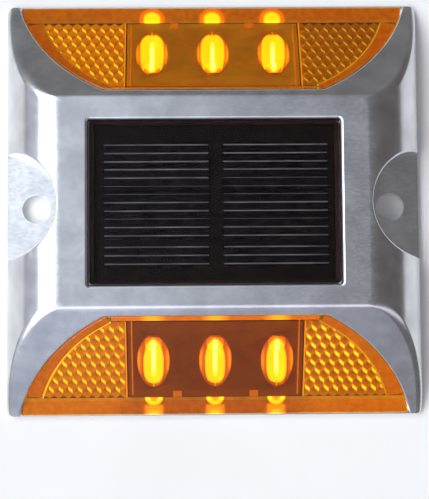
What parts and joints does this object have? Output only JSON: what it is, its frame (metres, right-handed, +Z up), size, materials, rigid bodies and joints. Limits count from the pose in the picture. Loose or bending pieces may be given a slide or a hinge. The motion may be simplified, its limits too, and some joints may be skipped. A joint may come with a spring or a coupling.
{
  "type": "raised pavement marker",
  "caption": "Square cast road stud with a solar window on its flat top, amber reflector lenses with LEDs on two slopes and a bolt pocket on each side.",
  "frame": {"origin": "on the road surface, at the middle of the square base", "axes": "+Z up out of the road; -Y and +Y towards the two lens slopes; X through the two bolt holes"},
  "size_m": [0.123, 0.123, 0.0215],
  "materials": {
    "cast_aluminium": "fine brushed and lightly polished casting",
    "amber_lens": "clear amber moulding with prism facets",
    "brown_plastic": "moulded",
    "led_epoxy": "clear, lit amber",
    "clear_cover": "clear, smooth",
    "seal_rubber": "moulded",
    "silicon_cell": "dark smooth silicon with fine grey fingers",
    "solar_board": "laminate",
    "circuit_board": "solder mask",
    "chip_plastic": "moulded",
    "ferrite": "sintered",
    "capacitor_sleeve": "shrink sleeve",
    "battery_wrap": "shrink sleeve",
    "nickel": "plated strip",
    "base_plastic": "moulded, grooved",
    "sealant": "cured bead",
    "screw_steel": "plated",
    "red_insulation": "extruded",
    "black_insulation": "extruded"
  },
  "bodies": {
    "root": {"housing": "cast_aluminium", "front_lens": "amber_lens", "front_led_holder": "brown_plastic", "front_led_board": "circuit_board", "front_led_left": "led_epoxy", "front_led_middle": "led_epoxy", "front_led_right": "led_epoxy", "rear_lens": "amber_lens", "rear_led_holder": "brown_plastic", "rear_led_board": "circuit_board", "rear_led_left": "led_epoxy", "rear_led_middle": "led_epoxy", "rear_led_right": "led_epoxy", "window_cover": "clear_cover", "window_seal": "seal_rubber", "solar_board": "solar_board", "solar_cell_left_1": "silicon_cell", "solar_cell_left_2": "silicon_cell", "solar_cell_left_3": "silicon_cell", "solar_cell_left_4": "silicon_cell", "solar_cell_left_5": "silicon_cell", "solar_cell_right_1": "silicon_cell", "solar_cell_right_2": "silicon_cell", "solar_cell_right_3": "silicon_cell", "solar_cell_right_4": "silicon_cell", "solar_cell_right_5": "silicon_cell", "control_board": "circuit_board", "controller_chip": "chip_plastic", "charge_coil": "ferrite", "buffer_capacitor": "capacitor_sleeve", "battery_tray": "base_plastic", "battery_cell_front": "battery_wrap", "battery_cell_rear": "battery_wrap", "battery_link": "nickel", "solar_lead_red": "red_insulation", "solar_lead_black": "black_insulation", "battery_lead_red": "red_insulation", "battery_lead_black": "black_insulation", "front_led_lead_red": "red_insulation", "front_led_lead_black": "black_insulation", "rear_led_lead_red": "red_insulation", "rear_led_lead_black": "black_insulation", "base_plate": "base_plastic", "base_seal": "sealant", "base_screw_front_left": "screw_steel", "base_screw_front_right": "screw_steel", "base_screw_rear_left": "screw_steel", "base_screw_rear_right": "screw_steel"}
  },
  "joints": []
}
